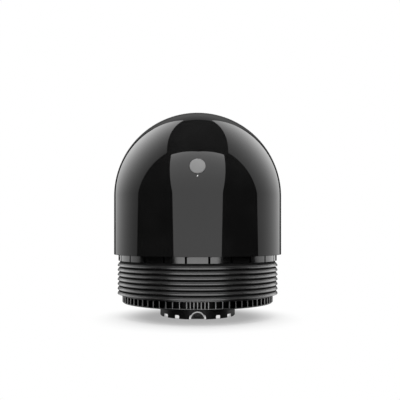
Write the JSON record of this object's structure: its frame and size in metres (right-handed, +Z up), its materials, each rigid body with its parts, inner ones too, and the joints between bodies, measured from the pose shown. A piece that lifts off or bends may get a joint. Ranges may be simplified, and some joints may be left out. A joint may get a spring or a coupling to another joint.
{
  "type": "lidar scanner module",
  "caption": "Compact dome lidar scanner: a glossy dome turns on a finned round base with a ribbed vent ring and a slotted foot, and a tilted mirror spins inside it.",
  "frame": {"origin": "middle of the foot's resting face, on the dome's turning axis", "axes": "+Z up along the dome's turning axis, -Y the front with the window and the cable outlet, +X to the right seen from the front"},
  "size_m": [0.062, 0.062, 0.075],
  "materials": {
    "housing": "black anodised, satin",
    "neck": "dark anodised, polished",
    "vent": "black anodised with bright worn ribs",
    "dome": "high gloss, black to the eye and clear to infrared",
    "cover": "fine moulded texture",
    "seal": "matt",
    "steel": "ground",
    "alloy": "turned",
    "laminate": "stacked sheet",
    "winding": "enamelled copper wire",
    "board": "solder resist",
    "chip": "moulded",
    "ferrite": "sintered, matt",
    "contact": "black nickel plated",
    "lens": "polished",
    "window": "satin",
    "light": "clear light pipe",
    "mirror": "first-surface silver"
  },
  "bodies": {
    "base": {"base_housing": "housing", "neck_ring": "neck", "vent_ring": "vent", "bottom_cover": "cover", "cover_gasket": "seal", "cover_screw_1": "steel", "cover_screw_2": "steel", "cover_screw_3": "steel", "cover_screw_4": "steel", "board_screw_1": "steel", "board_screw_2": "steel", "board_screw_3": "steel", "cable_socket": "cover", "socket_contacts": "contact", "main_board": "board", "processor": "chip", "power_inductor": "ferrite", "board_connector": "chip", "bearing_tube": "alloy", "upper_bearing_outer_race": "steel", "lower_bearing_outer_race": "steel", "stator_core": "laminate", "stator_coil_1": "winding", "stator_coil_2": "winding", "stator_coil_3": "winding", "stator_coil_4": "winding", "stator_coil_5": "winding", "stator_coil_6": "winding", "transmitter_core": "ferrite", "transmitter_coil": "winding", "encoder_sensor": "chip"},
    "head": {"dome_cover": "dome", "front_window": "window", "status_light": "light", "dome_screw_1": "steel", "dome_screw_2": "steel", "dome_screw_3": "steel", "turntable": "alloy", "upper_bearing_inner_race": "steel", "lower_bearing_inner_race": "steel", "spindle": "steel", "spindle_nut": "steel", "rotor_magnet": "ferrite", "rotor_yoke": "steel", "receiver_core": "ferrite", "receiver_coil": "winding", "encoder_disc": "steel", "head_board": "board", "optical_frame": "alloy", "lens_barrel": "cover", "receiver_lens": "lens", "laser_module": "steel", "mirror_motor": "steel"},
    "mirror": {"mirror_shaft": "steel", "mirror_code_wheel": "steel", "mirror_holder": "alloy", "scan_mirror": "mirror"}
  },
  "joints": [
    {"name": "head_spin", "type": "hinge", "parent": "base", "child": "head", "pos_m": [0, 0, 0], "axis": [0, 0, 1], "continuous": true},
    {"name": "mirror_spin", "type": "hinge", "parent": "head", "child": "mirror", "pos_m": [0, 0, 0.044], "axis": [0, 1, 0], "continuous": true}
  ]
}
